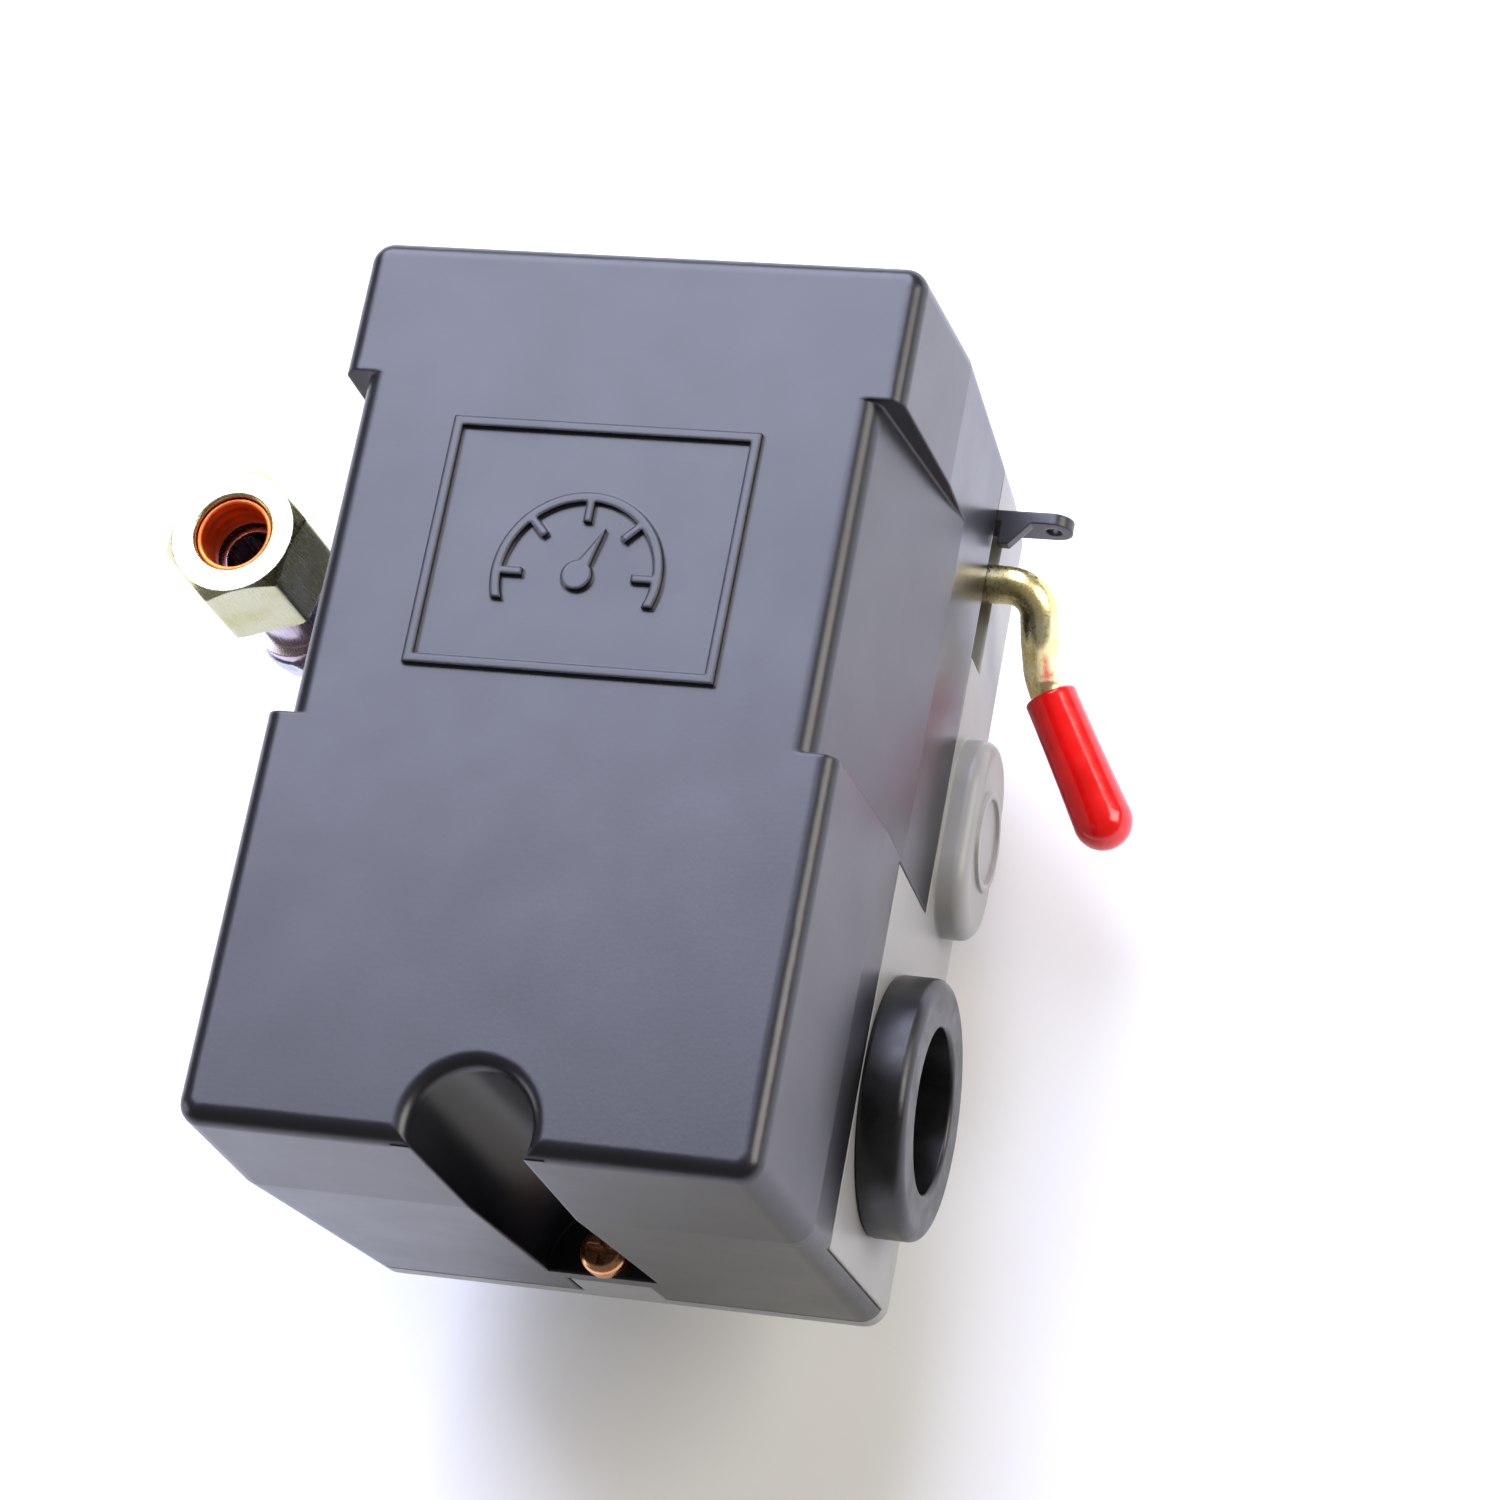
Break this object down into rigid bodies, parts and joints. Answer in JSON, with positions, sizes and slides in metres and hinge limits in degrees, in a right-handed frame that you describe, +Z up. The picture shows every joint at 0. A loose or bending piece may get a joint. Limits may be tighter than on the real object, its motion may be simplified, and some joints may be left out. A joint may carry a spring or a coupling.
{
  "type": "pressure switch",
  "caption": "Air-compressor pressure switch: diaphragm and spring move a contact arm and an unloader valve, with an on/off lever.",
  "frame": {"origin": "centre of the bottom inlet port's mouth, on the manifold's flat underside", "axes": "+Z up the inlet port to the cover's top, +Y along the case's long side, +X towards the cable entry and the lever"},
  "size_m": [0.1009, 0.0972, 0.0786],
  "materials": {
    "cover_plastic": "moulded black plastic, satin",
    "base_plastic": "moulded grey nylon, satin",
    "guard_plastic": "moulded black nylon",
    "rubber": "moulded black rubber",
    "copper_plated_screw": "copper-plated steel",
    "die_cast": "die-cast, as cast",
    "zinc_steel": "zinc-plated sheet steel",
    "steel": "turned steel",
    "spring_steel": "drawn spring wire",
    "yellow_zinc": "yellow-passivated zinc on steel",
    "yellow_zinc_nut": "pale yellow-passivated zinc",
    "nickel_brass": "nickel-plated brass",
    "hub_plastic": "moulded natural nylon",
    "red_dip": "dipped red vinyl",
    "block_plastic": "moulded phenolic",
    "brass": "stamped brass",
    "copper": "bare copper",
    "green_screw": "green-passivated steel"
  },
  "bodies": {
    "housing": {"cover": "cover_plastic", "cover_screw": "copper_plated_screw", "base": "base_plastic", "cable_grommet": "rubber", "lever_guard": "guard_plastic", "manifold": "die_cast", "manifold_screws": "zinc_steel", "port_plug": "zinc_steel", "diaphragm": "rubber", "frame_plate": "zinc_steel", "hinge_pin": "steel", "spring_bracket": "zinc_steel", "range_spring": "spring_steel", "lever_post": "steel", "lever_clip": "steel", "contact_block": "block_plastic", "terminals": "brass", "terminal_screws": "brass", "earth_screw": "green_screw", "valve_bracket": "zinc_steel", "valve_body": "nickel_brass", "unloader_spring": "spring_steel", "compression_nut": "yellow_zinc_nut", "compression_sleeve": "copper"},
    "lever": {"lever_wire": "yellow_zinc", "lever_hub": "hub_plastic", "lever_cap": "red_dip"},
    "trip": {"trip_bar": "hub_plastic"},
    "arm": {"pressure_arm": "zinc_steel"},
    "piston": {"pressure_piston": "brass"},
    "carrier": {"contact_carrier": "block_plastic", "contact_bridges": "copper"},
    "plunger": {"unloader_pin": "steel"},
    "adjuster": {"range_screw": "steel"},
    "seat": {"spring_seat": "zinc_steel"}
  },
  "joints": [
    {"name": "lever_turn", "type": "hinge", "parent": "housing", "child": "lever", "pos_m": [0, 0.019, 0.0326], "axis": [0, 0, -1], "range_deg": [0, 10]},
    {"name": "trip_slide", "type": "slide", "parent": "housing", "child": "trip", "axis": [0, 1, 0], "range_m": [0, 0.002]},
    {"name": "arm_lift", "type": "hinge", "parent": "housing", "child": "arm", "pos_m": [0, 0.0245, 0.0283], "axis": [-1, 0, 0], "range_deg": [0, 2.5], "stiffness_Nm_per_rad": 2, "springref_deg": -1.15, "deforming": ["range_spring"]},
    {"name": "piston_slide", "type": "slide", "parent": "housing", "child": "piston", "axis": [0, 0, 1], "range_m": [0, 0.00103]},
    {"name": "carrier_slide", "type": "slide", "parent": "housing", "child": "carrier", "axis": [0, 0, 1], "range_m": [0, 0.00225]},
    {"name": "plunger_slide", "type": "slide", "parent": "housing", "child": "plunger", "axis": [0, 0, 1], "range_m": [0, 0.0008], "deforming": ["unloader_spring"]},
    {"name": "range_screw_turn", "type": "hinge", "parent": "housing", "child": "adjuster", "pos_m": [0, 0, 0.058], "axis": [0, 0, 1], "range_deg": [-720, 720]},
    {"name": "seat_slide", "type": "slide", "parent": "housing", "child": "seat", "axis": [0, 0, 1], "range_m": [-0.0021, 0.0021]}
  ],
  "couplings": [
    {"joint": "trip_slide", "follows": "lever_turn", "m_per_rad": 0.011},
    {"joint": "piston_slide", "follows": "arm_lift", "m_per_rad": 0.0232},
    {"joint": "carrier_slide", "follows": "arm_lift", "m_per_rad": 0.0512},
    {"joint": "plunger_slide", "follows": "arm_lift", "m_per_rad": 0.0176},
    {"joint": "seat_slide", "follows": "range_screw_turn", "m_per_rad": 0.00015915}
  ]
}
